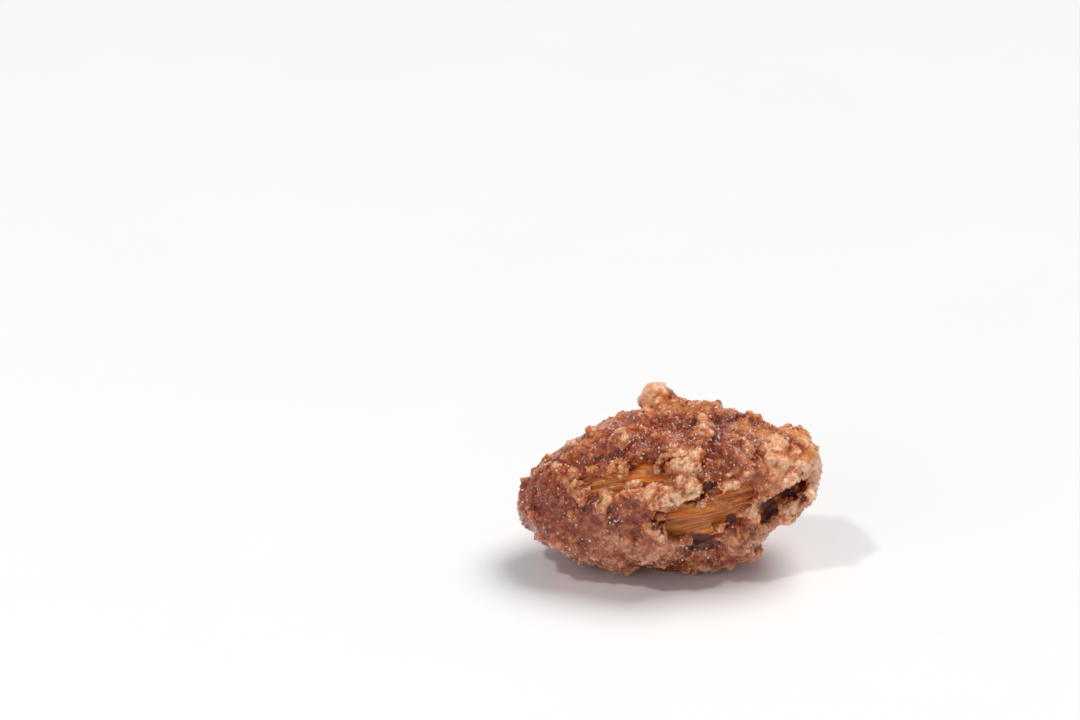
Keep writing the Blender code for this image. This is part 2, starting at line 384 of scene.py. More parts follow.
def cellsOf(place, sizeMm):
    return addNode(place.id_data, "ShaderNodeTexVoronoi", {"Vector": place, "Scale": 1 / (sizeMm * mm)})


def bumped(height, distanceMm, strength, normal=None):
    inputs = {"Height": height, "Distance": distanceMm * mm, "Strength": strength}
    if normal:
        inputs["Normal"] = normal
    return addNode(height.id_data, "ShaderNodeBump", inputs).outputs["Normal"]


def finishPiece(obj, material, replaced=()):
    setMeshPoints(obj.data, meshPoints(obj.data) * mm)
    obj.data.materials.clear()
    obj.data.materials.append(material)
    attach(obj, "root")
    if replaced:
        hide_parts(*replaced)


# The kernel: a furrowed, glazed almond skin.
kernelLook = {
    "rings": 380,
    "segments": 240,
    "glaze": 0.3,  # how far the glaze lifts the skin off the kernel's solid
    "streaks": (  # width, run, height
        (1.5, 11.0, 0.08),
        (0.48, 9.0, 0.055),
        (0.20, 7.0, 0.03),
    ),
    "filmHeight": 0.13,
    "wander": 0.9,  # how far the streaks stray
    "barrel": 5.0,  # the radius at which their widths are true
    "dentSize": 2.4,
    "dentDepth": 0.08,
    "amber": (0.90, 0.240, 0.024),
    "honey": (0.97, 0.400, 0.050),
    "filmDark": (0.44, 0.120, 0.048),
    "filmPale": (0.74, 0.330, 0.150),
    "rust": (0.46, 0.075, 0.012),
    "mauve": (0.42, 0.105, 0.045),
    # the colour of the painted shade in the pits
    "dark": (0.16, 0.022, 0.007),
    "pitShadeTint": (0.09, 0.010, 0.006),
    "roughness": (0.26, 0.48),
    "scatter": (1.0, 0.35, 0.12),
    "scatterMm": 0.5,
    "coat": 0.25,
}


def kernelEnds():
    # the kernel's two poles are its points that lie farthest apart
    middle = kernelPoints.mean(axis=0)
    first = kernelPoints[np.argmax(np.linalg.norm(kernelPoints - middle, axis=1))]
    second = kernelPoints[np.argmax(np.linalg.norm(kernelPoints - first, axis=1))]
    return sorted((first, second), key=lambda p: p[0])


bluntEnd, pointedEnd = kernelEnds()
kernelLength = float(np.linalg.norm(pointedEnd - bluntEnd))
kernelAxis = (pointedEnd - bluntEnd) / kernelLength
kernelSide = np.cross(kernelAxis, (0, -1, 0))
kernelSide /= np.linalg.norm(kernelSide)
kernelFront = np.cross(kernelSide, kernelAxis)


def grainOf(points):
    # where each point lies in the skin's own grain: along the kernel, and round a barrel of one width
    rest = points - bluntEnd
    across, up = rest @ kernelFront, rest @ kernelSide
    radius = np.maximum(np.hypot(across, up), 1e-6) / kernelLook["barrel"]
    return np.stack((rest @ kernelAxis, across / radius, up / radius), axis=1)


def streaksOf(grain):
    # ridges that run with the grain, from wide to fine: 1 on a crest, 0 in the furrow between two
    made = np.empty((len(kernelLook["streaks"]), len(grain)))
    for i, (x, y, z) in enumerate(grain):
        wander = kernelLook["wander"] * noise.noise(Vector((x / 3, y / 3, z / 3 + 4)))
        for number, (wide, run, _) in enumerate(kernelLook["streaks"]):
            place = Vector((x / run + 31 * number, y / wide + wander, z / wide - wander))
            made[number, i] = abs(noise.noise(place))
    return 1 - 2 * made


def saveStreaks(mesh, grain, streaks):
    saved = mesh.attributes.new("grain", "FLOAT_VECTOR", "POINT")
    saved.data.foreach_set("vector", grain.astype(np.float32).ravel())
    saveAttributes(mesh, **{"streak%d" % number: streak for number, streak in enumerate(streaks)})


def buildKernel():
    look = kernelLook
    smoothSkin = newObject("smoothSkin", kernelPoints, kernelTriangles)
    smoothSkin.modifiers.new("round", "SUBSURF").levels = 2
    applyModifiers(smoothSkin)
    skinTree = treeOf(meshPoints(smoothSkin.data), meshTriangles(smoothSkin.data))
    bpy.data.objects.remove(smoothSkin)
    rings, segments = look["rings"], look["segments"]
    points = [Vector(bluntEnd)]
    for ring in range(1, rings):
        start = Vector(bluntEnd + kernelAxis * kernelLength * (1 - math.cos(math.pi * ring / rings)) / 2)
        for segment in range(segments):
            angle = 2 * math.pi * segment / segments
            outward = Vector(math.cos(angle) * kernelFront + math.sin(angle) * kernelSide)
            points.append(skinTree.ray_cast(start, outward)[0] or start)
    points.append(Vector(pointedEnd))
    faces = []
    for ring in range(rings - 2):
        for segment in range(segments):
            a = 1 + ring * segments + segment
            b = 1 + ring * segments + (segment + 1) % segments
            faces.append((a, b, b + segments, a + segments))
    last = len(points) - 1
    caps = [(0, 1 + (s + 1) % segments, 1 + s) for s in range(segments)]
    caps += [(last, last - segments + s, last - segments + (s + 1) % segments) for s in range(segments)]
    places = np.array([p[:] for p in points])
    kernel = newObject("glazedKernel", places, faces + caps)
    mesh = kernel.data
    grain = grainOf(places)
    streaks = streaksOf(grain)
    rise = look["glaze"] + look["dentDepth"] * sways(places, look["dentSize"], 3)
    lay = layOf(places)
    film = skinFilm(places, lay)
    for streak, (_, _, height) in zip(streaks, look["streaks"]):
        rise += 2 * height * (streak - 0.5) * (1 - 0.6 * film)
    rise += look["filmHeight"] * film * (1 + sways(places, 0.35, 25, octaves=2))
    setMeshPoints(mesh, places + meshNormals(mesh) * rise[:, None])
    saveStreaks(mesh, grain, streaks)
    saveAttributes(mesh, hollow=hollowAt(places, lay)[0], film=film)
    mesh.shade_smooth()
    finishPiece(kernel, kernelMaterial(), ["almond_kernel"])
    print("kernel:", len(mesh.polygons), "faces")


def streakNoise(grain, along, across, shift):
    # a noise drawn out along the skin's grain
    inputs = {"Vector": grain, "Location": (shift, shift, 0), "Scale": (1 / along, 1 / across, 1 / across)}
    stretch = addNode(grain.id_data, "ShaderNodeMapping", inputs).outputs[0]
    inputs = {"Vector": stretch, "Scale": 1.0, "Detail": 1.0, "Distortion": 0.4}
    return addNode(grain.id_data, "ShaderNodeTexNoise", inputs).outputs["Fac"]


def streakedSkin(material):
    # the almond skin's colour, which also shows through thin syrup, its finest streaks, its haze and the
    # painted shade in its pits
    look = kernelLook
    middle, fine, hollow = (attributeOf(material, name) for name in ("streak1", "streak2", "hollow"))
    grain = attributeOf(material, "grain", "Vector")
    hair, bands = streakNoise(grain, 4.0, 0.10, 1.0), streakNoise(grain, 9.0, 0.6, 5.0)
    haze = noiseOf(objectPlace(material), 1.9)
    colour = mixed(mapped(middle, 0.3, 0.75), look["rust"], look["amber"])
    layers = (  # what shows a layer, from, to, how much of it shows, its colour
        (bands, 0.48, 0.62, 0.8, "mauve"),
        (hair, 0.50, 0.62, 0.75, "honey"),
        (hair, 0.46, 0.36, 0.6, "rust"),
        (middle, 0.3, 0.0, 0.6, "dark"),
        (fine, 0.3, 0.0, 0.5, "dark"),
        (haze, 0.52, 0.70, 0.35, "mauve"),
        # the pits are painted almost black as painted shade
        (hollow, 0.1, 0.8, 0.95, "pitShadeTint"),
    )
    for pattern, low, high, most, name in layers:
        colour = mixed(mapped(pattern, low, high, 0, most), colour, look[name])
    return colour, hair, haze


def kernelMaterial():
    look = kernelLook
    material, shader = newMaterial("glazedAlmondSkin")
    colour, hair, haze = streakedSkin(material)
    crumbs = noiseOf(objectPlace(material), 0.5, 3.0, 0.6)
    sugar = mixed(mapped(crumbs, 0.45, 0.68), look["filmDark"], look["filmPale"])
    plugAll(shader, {
        "Base Color": mixed(mapped(attributeOf(material, "film"), 0.1, 0.8, 0, 0.85), colour, sugar),
        "Roughness": mapped(haze, 0.35, 0.7, *look["roughness"]),
        "Normal": bumped(hair, 0.04, 0.6),
        "Subsurface Weight": 0.5,
        "Subsurface Radius": look["scatter"],
        "Subsurface Scale": look["scatterMm"] * mm,
        "Specular IOR Level": 0.3,
        "Coat Weight": look["coat"],
        "Coat Roughness": 0.15,
        "IOR": 1.45,
    })
    return material


# The crust: cinnamon sugar with its knobs and crumbs.
crustLook = {
    "seed": 11,
    "voxel": 0.135,  # the finest shape that the crust keeps
    "bondReach": 0.36,  # the inner wall lies this near the kernel, and is sunk into it
    "bondDepth": 0.15,
    "coreInset": 0.1,
    "backForms": 120,  # lumps where the camera doesn't look
    "crumbs": 700,
    "crumbRadius": (0.18, 0.55),
    "crumbSink": 0.6,  # how deep crumbs and knobs sit, in radii
    "knobSink": 0.3,
    "knobSwell": 1.12,
    "knobDeepest": 0.88,  # how far in their facets are cut
    "moundSink": 0.8,  # how deep the raised forms sit, in rises
    "moundHeight": 1.5,  # their half thickness, in rises
    "smoothing": 5,
    "lumps": (  # size, height, seed
        (2.6, 0.17, 1),
        (1.3, 0.12, 2),
        (0.62, 0.06, 3),
        (0.36, 0.03, 4),
    ),
    "warp": 0.45,  # how unevenly the lumps and plates are laid
    "plates": (  # size, level, height
        (3.6, 0.05, 0.08),
        (2.2, 0.10, 0.06),
    ),
    "plateEdge": 0.08,
    "grainSize": 0.3,
    "grainHeight": 0.03,
    "plainSugar": 0.40,  # where neither more nor less sugar lies, from 0 for syrup to 1
    "sugarVaries": 0.30,
    "thinnest": 0.30,  # the least sugar, pits and seams apart
    "formPaleness": 0.30,  # how much paler each of these is than the rest
    "reliefPaleness": 0.35,
    "crumbPaleness": 0.15,
    # painted light and shade: tips and swells paler, seams and broad hollows darker
    "tipLightSeamShade": 1.8,
    "bulgeLightHollowShade": 0.6,
    "pitShadeStrength": 0.6,
    "knobPaleness": 0.5,
    "knobTopLight": 0.14,  # painted light: how much paler a knob is painted on top than underneath
    "filmVaries": 0.25,
    "filmSize": 0.9,
    "filmSugar": 1.3,  # how much higher the listed lumps stand on the film
    "tints": (  # from bare syrup to thick sugar
        (0.00, (0.11, 0.011, 0.005)),
        (0.20, (0.28, 0.035, 0.005)),
        (0.38, (0.40, 0.074, 0.014)),
        (0.58, (0.57, 0.155, 0.040)),
        (0.80, (0.82, 0.320, 0.125)),
        (1.00, (0.97, 0.580, 0.350)),
    ),
    "dullness": (0.84, 0.98, 1.55),  # what the duller zones multiply the tints by: a duller mauve sugar with a painted cool reflection
    "amber": (0.86, 0.34, 0.070),
    "scatter": (0.75, 0.9, 1.0),
    "scatterMm": 0.8,
    "cellSize": 0.30,  # the grains that the sugar's surface is made of
    "shake": 0.2,  # how far the cells' edges wander
    "facetSize": 0.16,
    "facetTilt": 0.2,
    "roughness": (0.18, 0.36),
    "coat": 0.85,
}

# raised sugar: along, around, half length, half width, turn, rise, paleness, amber
raisedForms = [
    (-0.2, 104, 1.5, 1.8, 0, 0, 0.9, 0), (-4, 45, 0.9, 0.63, 15, 0.6, 0.9, 0.2),
    (-6, 48, 0.33, 0.23, 52, 0.4, 0.5, 0.8), (-7.6, 48, 0.48, 0.48, 51, 0.4, 0.9, 0.3),
    (-8, 35, 0.79, 0.21, -67, 0.4, 0.3, 1), (-7, 28, 0.67, 0.6, 72, 0.5, 0.9, 0.1),
    (-5.2, 19, 1.11, 0.41, 72, 0.5, 0.9, 0.1), (-2.6, 32, 0.91, 0.42, 2, 0.4, 0.4, 0),
    (-0.7, 38, 0.58, 0.34, 17, 0.4, 0.7, 0.1), (0, 45, 0.5, 0.35, 34, 0.4, 0.5, 0.2),
    (-3.2, 66, 1.14, 0.65, 77, 0.4, 0.75, 0.1), (-1.8, 73, 0.78, 0.73, -16, 0.3, 0.5, 0),
    (-6.2, 71, 0.91, 0.89, -3, 0.4, 0.3, 0.1), (-7.6, 87, 0.93, 0.85, -48, 0.3, 0.8, 0),
    (-8.9, 61, 0.61, 0.4, -30, 0.3, 0.8, 0), (-10.9, 62, 0.7, 0.6, 40, 0.1, 0.35, 0),
    (-11.2, 5, 0.9, 0.44, -52, 0.3, 0.4, 0.1), (-10.1, -19, 0.54, 0.7, 34, 0.5, 0.8, 0),
    (-8.4, -40, 0.99, 1.8, 50, 0.5, 0.7, 0), (-8.3, -12, 0.7, 0.45, 82, 0.3, 0.5, 0),
    (-6.9, -29, 1.1, 0.64, 37, 0.3, 0.5, 0), (-3.6, -8, 1.24, 1.17, -1, 0.4, 0.6, 0),
    (-5, -36, 0.9, 0.55, 0, 0.3, 0.3, 0), (-2.3, 13, 0.99, 0.77, -6, 0.3, 0.2, 0),
    (-1.8, -27, 1.08, 0.66, 0, 0.3, 0.3, 0), (1.5, 33, 1.25, 2, 4, 0.5, 0.8, 0.1),
    (-0.2, 20, 1.9, 0.9, -6, 0.4, 0.5, 0), (1.5, 43, 0.7, 0.75, -7, 0.5, 0.8, 0.1),
    (1.9, 35, 1.05, 0.7, 13, 0.5, 0.8, 0.1), (1.1, 28, 1.35, 0.9, 23, 0.5, 0.8, 0),
    (2, 21, 0.9, 0.7, -38, 0.5, 0.9, 0), (2.7, 11, 0.41, 0.3, -10, 0.6, 1, 0),
    (2.1, 16, 0.33, 0.34, -9, 0.5, 0.9, 0), (0.2, 19, 1.1, 0.95, -8, 0.4, 0.7, 0.1),
    (-1.2, 22, 0.8, 0.55, 72, 0.4, 0.6, 0), (5.8, 48, 1.48, 1.09, -1, 0.3, 0.1, 0),
    (6.7, 28, 1.16, 0.58, -2, 0.5, 0.7, 0.3), (5.2, 21, 0.82, 0.42, 1, 0.4, 0.5, 0),
    (7.7, 20, 0.66, 0.59, 9, 0.4, 0.6, 0), (3.1, 49, 0.41, 0.27, -4, 0.3, 0.6, 0),
    (9.5, 57, 0.77, 0.82, 14, 0.6, 0.95, 0), (9, 38, 0.58, 0.52, -1, 0.6, 0.95, 0),
    (10, 35, 0.58, 0.51, -2, 0.5, 0.85, 0), (11.2, 75, 1.03, 1.22, 48, 0.5, 0.3, 0.9),
    (12.2, 39, 0.81, 0.66, 80, 0.5, 0.3, 0.8), (11.3, 26, 0.51, 0.42, -9, 0.6, 0.9, 0.1),
    (10.1, 15, 0.74, 0.44, 3, 0.4, 0.6, 0.2), (12.2, -2, 0.9, 0.44, 80, 0.4, 0.8, 0),
    (11.3, -17, 0.81, 0.77, 60, 0.4, 0.5, 0), (10.1, -28, 0.63, 0.66, 40, 0.4, 0.5, 0),
    (9.3, -39, 0.81, 0.55, 30, 0.15, 0.7, 0), (6.5, 85, 0.88, 1.01, 20, 0.3, 0.3, 0.8),
    (8.7, 73, 0.73, 0.79, 24, 0.3, 0.3, 0.6), (1.3, 93, 1.44, 0.77, -15, 0.2, 0.1, 0.9),
    (3.5, 96, 1.51, 1.79, -46, 0.3, 0.3, 0.6), (3.7, 69, 1.5, 0.7, 82, 0.35, 0.75, 0),
    (-0.5, 90, 1.53, 0.95, -30, 0.35, 0.6, 0), (6.3, -12, 0.78, 0.87, 54, 0.5, 0.5, 0),
    (5.1, -41, 0.91, 2.25, -8, 0.4, 0.4, 0), (4.5, -42, 0.54, 0.55, 0, 0.4, 0.8, 0),
    (1.7, -55, 0.99, 0.66, 0, 0.3, 0.1, 0.2), (5.5, -14, 0.32, 0.33, -25, 0.4, 0.9, 0),
    (3.9, 31, 1.2, 0.62, -7, 0.22, 0.15, 0.2), (5, 33, 0.9, 0.55, -7, 0.22, 0.15, 0.2),
]

# rounded knobs of sugar: along, around, radius, paleness, amber
knobForms = [
    (0.5, 106, 0.38, 1.2, 0), (0.6, 102, 0.42, 1.1, 0.2), (-0.4, 103, 0.72, 1.3, 0), (-1, 105, 0.5, 1.3, 0),
    (0.1, 105, 0.4, 1.3, 0), (0.1, 100, 0.5, 1, 0.3), (2, 100, 0.45, 0.7, 0.7), (1.4, 96, 0.42, 0.65, 0.7),
    (2.7, 100, 0.33, 0.7, 0.5), (3.3, 102, 0.33, 0.75, 0.3), (4.1, 104, 0.5, 0.9, 0.2),
    (4.6, 98, 0.5, 0.9, 0.2), (5, 88, 0.42, 0.85, 0.2), (4.1, 91, 0.42, 0.9, 0.1), (3.6, 76, 0.37, 0.95, 0),
    (3.7, 67, 0.33, 0.9, 0), (4.2, 61, 0.25, 0.9, 0), (3, 54, 0.25, 0.85, 0.1), (-1, 96, 0.44, 0.85, 0),
    (-0.3, 95, 0.42, 0.85, 0), (-1.6, 91, 0.36, 0.8, 0), (0.4, 86, 0.33, 0.75, 0.1),
    (-0.5, 65, 0.25, 0.9, 0), (-1.4, 75, 0.26, 0.85, 0), (1.7, 47, 0.4, 1, 0.3), (2, 41, 0.33, 1.15, 0.1),
    (2.6, 44, 0.37, 0.95, 0), (2.3, 32, 0.41, 1.1, 0), (1.3, 29, 0.38, 1.1, 0), (1.8, 35, 0.38, 1, 0.1),
    (1.1, 39, 0.4, 0.95, 0.2), (1.9, 24, 0.3, 1, 0.2), (2.5, 22, 0.25, 1.15, 0), (2.2, 18, 0.37, 1.15, 0),
    (2.7, 11, 0.48, 1.1, 0.3), (2.5, 14, 0.25, 1.15, 0), (0.7, 19, 0.41, 1, 0.1), (-0.3, 18, 0.25, 1.15, 0),
    (-0.2, 13, 0.5, 0.9, 0.2), (-1.4, 22, 0.37, 1.05, 0), (-1, 16, 0.45, 0.75, 0.2),
    (-2, 1, 0.33, 0.8, 0.1), (-0.5, 41, 0.33, 0.95, 0), (-0.7, 31, 0.21, 0.95, 0.3), (0.4, 43, 0.21, 1, 0),
    (3.8, 42, 0.16, 0.95, 0.2), (4.4, 32, 0.17, 1, 0), (5.2, 28, 0.21, 0.95, 0), (4.5, 39, 0.33, 0.6, 0),
    (7.7, 103, 0.46, 1, 0), (8.2, 106, 0.42, 1, 0), (7.2, 92, 0.39, 0.85, 0.3), (9.5, 63, 0.57, 1, 0),
    (10, 56, 0.48, 1, 0), (9.5, 43, 0.42, 0.85, 0), (8.8, 37, 0.41, 1, 0.1), (9.8, 33, 0.42, 0.85, 0.1),
    (10.9, 44, 0.38, 0.9, 0.1), (11, 72, 0.5, 0.85, 0.5), (10.4, 76, 0.5, 0.8, 0.6),
    (11.7, 60, 0.52, 0.8, 0.6), (12, 44, 0.58, 0.8, 0.8), (11.3, 29, 0.51, 0.95, 0.2),
    (11.8, 35, 0.39, 1, 0), (12, 5, 0.5, 0.9, 0.1), (12.1, -6, 0.48, 0.9, 0), (11.7, -12, 0.42, 0.85, 0),
    (11.5, -17, 0.36, 0.85, 0), (7, 47, 0.41, 0.7, 0), (7, 29, 0.41, 0.75, 0.2), (6.1, 63, 0.33, 0.85, 0),
    (-5.7, 96, 0.45, 0.8, 0), (-7.6, 87, 0.42, 0.8, 0), (-9, 63, 0.4, 0.85, 0), (-9.9, 80, 0.34, 0.85, 0),
    (-3.4, 70, 0.4, 0.85, 0.1), (-2.9, 63, 0.36, 0.85, 0), (-4, 66, 0.32, 0.8, 0.1),
    (-5, 72, 0.34, 0.75, 0), (-3.8, 48, 0.38, 0.95, 0.1), (-4.3, 44, 0.34, 0.9, 0.3),
    (-3.5, 42, 0.34, 0.9, 0.2), (-6, 47, 0.26, 0.8, 0.6), (-8.2, 44, 0.36, 0.95, 0.4),
    (-7.7, 51, 0.37, 0.9, 0.2), (-7.6, 37, 0.3, 0.8, 0.7), (-7.3, 29, 0.34, 0.9, 0.1),
    (-7, 23, 0.3, 0.85, 0.1), (-6.6, 32, 0.34, 0.85, 0.1), (-5.2, 27, 0.38, 0.9, 0.3),
    (-5, 21, 0.33, 0.85, 0.3), (-5.7, 15, 0.38, 0.9, 0.2), (-5.6, 8, 0.33, 0.85, 0.1),
    (-5.4, 3, 0.29, 0.8, 0.1), (-6.1, 14, 0.21, 0.95, 0), (-2.6, 30, 0.37, 0.8, 0), (-2, 32, 0.29, 0.75, 0),
    (-3.2, 12, 0.16, 1, 0), (-3.8, -9, 0.48, 0.72, 0.1), (-2.8, -12, 0.38, 0.7, 0),
    (-10, -10, 0.34, 0.9, 0), (-9.6, -18, 0.32, 0.75, 0), (-8.4, -13, 0.4, 0.65, 0.1),
    (-8.4, -21, 0.4, 0.65, 0.1), (-6.6, -29, 0.46, 0.6, 0.3), (-7.3, -42, 0.42, 0.5, 0),
    (-4.7, -38, 0.4, 0.6, 0.1), (-3.1, -35, 0.42, 0.5, 0), (-1.4, -46, 0.45, 0.5, 0),
    (1.7, -52, 0.45, 0.5, 0), (3.9, -48, 0.45, 0.6, 0), (4.7, -40, 0.45, 0.8, 0), (4.9, 97, 0.45, 0.9, 0.1),
    (5.9, -27, 0.36, 0.75, 0), (-0.9, -7, 0.34, 0.55, 0.2), (5.3, -28, 0.36, 0.6, 0),
    (5.2, -20, 0.28, 0.7, 0), (-1.3, -4, 0.42, 0.55, 0.1), (-1, -10, 0.36, 0.5, 0.2),
    (-0.9, 3, 0.36, 0.6, 0.2),
]

# where the sugar is paler or darker on the whole, partly for thicker or thinner sugar and partly as painted
# light on the right end and painted shade on the left end: along, around, half length, half width, turn, more
sugarAndLightZones = [
    (11.0, 30, 5.0, 7.0, 0, 0.21),
    (-10.5, 20, 4.5, 6.0, 0, -0.21),
    (-2.0, 62, 6.0, 2.5, 0, -0.08),
    (2.0, 98, 6.0, 3.0, 0, -0.24),
    (1.0, 28, 2.4, 3.0, 0, 0.13),
    (-0.2, 104, 1.7, 1.7, 0, 0.55),
    (5.5, 55, 3.0, 1.6, 0, -0.08),
]

# where the sugar thins out over the skin:
# along, around, half length, half width, turn, film, ramp above, ramp below
thinForms = [
    (-3.7, 38, 4.7, 1.05, -7, 0.65, 1.3, 2.5),  # the upper window, a film with three bare strips
    (1.7, -2, 2.73, 1.9, 0, 0.0, 1.3, 8.0),  # the lower window
    (4.8, 2, 2.27, 0.83, 9, 0.0, 1.3, 8.0),
    (4.5, 16, 2.83, 0.75, -8, 0.6, 1.6, 1.6),  # the glaze over its upper edge
    (3.8, 28, 1.49, 0.66, -18, 0.55, 1.5, 1.5),  # right of the tongue
]

# where the sugar is duller and more mauve, partly the sugar's own haze and partly a painted cool reflection:
# along, around, half length, half width, turn, share
dullZones = [
    (-4.5, -22, 6.5, 3.8, 0, 0.85),
    (4.0, -45, 4.0, 3.0, 0, 0.6),
    (-11.0, -15, 3.0, 4.0, 0, 0.5),
    (-2.0, 58, 4.0, 1.5, 0, 0.35),
    (6.0, 50, 2.5, 2.2, 0, 0.6),
    (0.0, 150, 8.0, 5.0, 0, 0.5),
    (-3.0, -130, 9.0, 5.0, 0, 0.6),
]

# where the sugar is smooth: along, around, half length, half width, turn, share
calmZones = [
    (-0.2, 105, 2.0, 1.7, 0, 1.0),
    (3.5, 14, 2.6, 1.0, -10, 0.7),
    (-9.5, 30, 2.0, 1.6, 0, 0.5),
    (-5.5, -15, 4.5, 3.0, 0, 0.5),
]


def zonesAt(lay, zones, ragged=0.0):
    # the largest share of the listed zones at each point
    share = np.zeros(len(lay[0]))
    for form in zones:
        share = np.maximum(share, form[5] * within(lay, form, 0.5, 1.3, ragged))
    return share


def backForms(rng):
    # the side that faces away is dressed in the same way
    made = []
    for _ in range(crustLook["backForms"]):
        place = (rng.uniform(-11.5, 11.5), rng.uniform(95, 300))
        shape = (rng.uniform(0.35, 1.4), rng.uniform(0.3, 0.8), rng.uniform(-90, 90), rng.uniform(0.3, 0.6))
        made.append((*place, *shape, rng.random() ** 0.8, max(0.0, rng.uniform(-1.0, 0.9))))
    return made


def bondedCrust():
    # the crust's solid, its inner wall sunk into the kernel so that no gap shows at the windows' rims
    look = crustLook
    points = crustPoints.copy()
    for i, p in enumerate(points):
        near, normal, _, distance = kernelTree.find_nearest(Vector(p))
        if distance < look["bondReach"]:
            points[i] = near - normal * look["bondDepth"]
    core = [Vector(p) - kernelTree.find_nearest(Vector(p))[1] * look["coreInset"] for p in kernelPoints]
    return joined([(points, crustTriangles), (np.array(core), kernelTriangles)])


def chunkTemplates(rng, count, detail, deepest=0.62):
    # small broken lumps: a ball cut by random planes
    ball, faces = ballTemplate(detail)
    shapes = []
    for _ in range(count):
        planes = rng.normal(size=(9, 3))
        planes /= np.linalg.norm(planes, axis=1)[:, None]
        reach = rng.uniform(deepest, 1.0, 9)
        facing = np.maximum(ball @ planes.T, 1e-3)
        shapes.append(ball * np.minimum((reach / facing).min(axis=1), 1.2)[:, None])
    return shapes, faces


def chunks(rng, detail, places, sizes, turns=None, deepest=0.62):
    # one broken lump at each place, of eight shapes in all
    templates, faces = chunkTemplates(rng, 8, detail, deepest)
    kinds = rng.integers(len(templates), size=len(places))
    if turns is None:
        turns = turnMatrices(rng, len(places))
    allPoints, allFaces, owners, total = [], [], [], 0
    for kind, template in enumerate(templates):
        mine = kinds == kind
        points, made = stamped(template, faces, turns[mine], sizes[mine], places[mine])
        allPoints.append(points)
        allFaces.append(made + total)
        owners.append(np.repeat(np.flatnonzero(mine), len(template)))
        total += len(points)
    return np.concatenate(allPoints), np.concatenate(allFaces), np.concatenate(owners)


def formShapes(rng, forms):
    # each raised form is a broken lump that lies along the skin
    places, sizes, turns = [], [], []
    for along, around, length, width, turn, rise, _, _ in forms:
        if rise == 0:
            continue
        outward = outwardAt(around)
        lengthways = Matrix.Rotation(math.radians(turn), 3, outward) @ (axisPoint(1) - axisPoint(0))
        sideways = outward.cross(lengthways)
        start = axisPoint(along) + outward * farOut
        onCrust, onKernel = crustTree.ray_cast(start, -outward)[0], kernelTree.ray_cast(start, -outward)[0]
        if onCrust is None:
            continue
        place = onCrust
        if onKernel and (onKernel - start).length < (onCrust - start).length:
            place = onKernel + outward * kernelLook["glaze"]
        places.append(place - outward * crustLook["moundSink"] * rise)
        sizes.append((1.15 * length, 1.15 * width, crustLook["moundHeight"] * rise))
        turns.append([[lengthways[i], sideways[i], outward[i]] for i in range(3)])
    points, faces, _ = chunks(rng, 3, np.array([p[:] for p in places]), np.array(sizes), np.array(turns))
    return warped(points, 0.8, 5), faces


def crumbShapes(rng):
    # crumbs set on the crust by rays towards the almond's axis, in patches
    look = crustLook
    places, outwards = [], []
    while len(places) < look["crumbs"]:
        along, around, chance = rng.uniform(-12.4, 12.4), rng.uniform(0, 360), rng.random()
        outward, middle = outwardAt(around), axisPoint(along)
        hit, normal = crustTree.ray_cast(middle + outward * farOut, -outward)[:2]
        if hit is None:
            continue
        patch = 0.15 + smoothStep(-0.1, 0.4, sways([hit], 3.2, 5)[0])
        calm = zonesAt(layOf(np.array([hit[:]])), calmZones)[0]
        if chance < (hit - middle).length / 8 * patch * (1 - calm):
            places.append(hit[:])
            outwards.append(normal[:])
    low, high = look["crumbRadius"]
    radii = low + (high - low) * rng.random(look["crumbs"]) ** 2.0
    sizes = radii[:, None] * rng.uniform(0.75, 1.3, (look["crumbs"], 3))
    places = np.array(places) - np.array(outwards) * (radii * look["crumbSink"])[:, None]
    points, faces, _ = chunks(rng, 2, places, sizes)
    return points, faces, places, radii


def knobShapes(rng, ground):
    # the listed knobs, set on the crust and its raised forms
    places, kept = [], []
    for form in knobForms:
        outward = outwardAt(form[1])
        hit = ground.ray_cast(axisPoint(form[0]) + outward * farOut, -outward)[0]
        if hit is not None:
            places.append((hit - outward * crustLook["knobSink"] * form[2])[:])
            kept.append(form[2:])
    places, kept = np.array(places), np.array(kept)
    sizes = kept[:, :1] * crustLook["knobSwell"] * rng.uniform(0.9, 1.15, (len(kept), 3))
    points, faces, _ = chunks(rng, 3, places, sizes, None, crustLook["knobDeepest"])
    return points, faces, places, kept


def keptInBox(points):
    # nothing goes through the floor
    return np.maximum(points, (-1e9, -1e9, 0.0))


def warped(points, size, seed):
    # the points shaken by a soft noise, so that what is laid on them is uneven
    shifts = np.stack([sways(points, 1.4 * size, 10 * seed + i) for i in range(3)], axis=1)
    return points + shifts * size * crustLook["warp"]


def joined(parts):
    points = np.concatenate([p for p, _ in parts])
    starts = np.cumsum([0] + [len(p) for p, _ in parts])
    return points, np.concatenate([f + start for (_, f), start in zip(parts, starts)])


